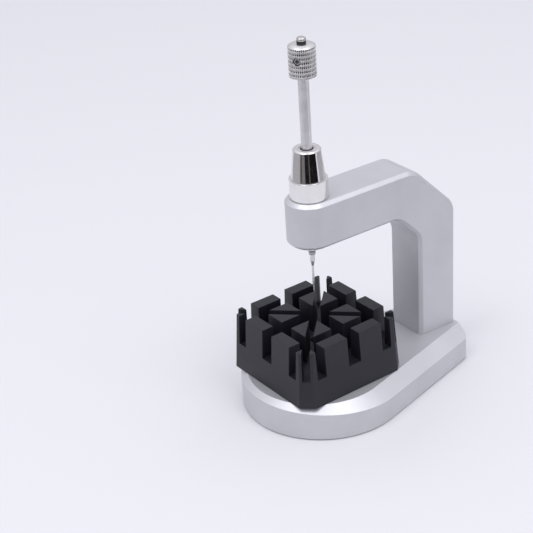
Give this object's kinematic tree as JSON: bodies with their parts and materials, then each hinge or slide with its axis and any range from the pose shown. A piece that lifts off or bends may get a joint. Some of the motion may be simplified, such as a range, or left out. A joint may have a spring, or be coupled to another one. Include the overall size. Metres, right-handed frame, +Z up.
{
  "type": "watch bracelet link pin press",
  "caption": "Bench press for watch bracelet link pins: a sprung plunger with knurled knob in a bent arm pushes a thin pin down over a slotted holder block on a round-fronted base.",
  "frame": {"origin": "on the underside of the base plate, straight below the plunger's axis", "axes": "+Z up along the plunger, +Y from the plunger towards the column, +X to the right seen from the front"},
  "size_m": [0.0762, 0.11, 0.175],
  "materials": {
    "base_plate": "fine bead-blasted, clear anodised",
    "base_feet": "matte",
    "arm_frame": "fine bead-blasted, clear anodised",
    "column_screws": "black oxide",
    "column_washers": "zinc plated",
    "column_dowels": "ground",
    "guide_collar": "polished plating",
    "guide_cone": "polished plating",
    "wiper_ring": "polished plating",
    "lower_bush": "reamed sintered bronze",
    "spring_seat": "stamped",
    "return_spring": "drawn wire",
    "stop_ring": "black spring steel",
    "plunger_rod": "satin ground",
    "knob": "knurled, bright nickel",
    "knob_screw": "plain",
    "striking_button": "polished",
    "button_seat": "matte",
    "chuck_nose": "turned",
    "chuck_screw": "black oxide",
    "push_pin": "ground and polished",
    "holder_block": "fine moulded texture"
  },
  "bodies": {
    "frame": {"base_plate": "base_plate", "base_feet": "base_feet", "arm_frame": "arm_frame", "column_screws": "column_screws", "column_washers": "column_washers", "column_dowels": "column_dowels", "guide_collar": "guide_collar", "guide_cone": "guide_cone", "wiper_ring": "wiper_ring", "lower_bush": "lower_bush", "spring_seat": "spring_seat", "return_spring": "return_spring"},
    "stop": {"stop_ring": "stop_ring"},
    "plunger": {"plunger_rod": "plunger_rod", "knob": "knob", "knob_screw": "knob_screw", "striking_button": "striking_button", "button_seat": "button_seat", "chuck_nose": "chuck_nose", "chuck_screw": "chuck_screw"},
    "pin": {"push_pin": "push_pin"},
    "holder": {"holder_block": "holder_block"}
  },
  "joints": [
    {"name": "plunger_slide", "type": "slide", "parent": "frame", "child": "stop", "axis": [0, 0, -1], "range_m": [0, 0.03], "stiffness_N_per_m": 400, "springref_m": -0.008, "deforming": ["return_spring"]},
    {"name": "plunger_spin", "type": "hinge", "parent": "stop", "child": "plunger", "pos_m": [0, 0, 0.12], "axis": [0, 0, 1], "continuous": true},
    {"name": "pin_draw", "type": "slide", "parent": "plunger", "child": "pin", "axis": [0, 0, -1], "range_m": [0, 0.012]},
    {"name": "holder_turn", "type": "hinge", "parent": "frame", "child": "holder", "pos_m": [-0.0013, 0.0006, 0.016], "axis": [0, 0, 1], "continuous": true}
  ]
}
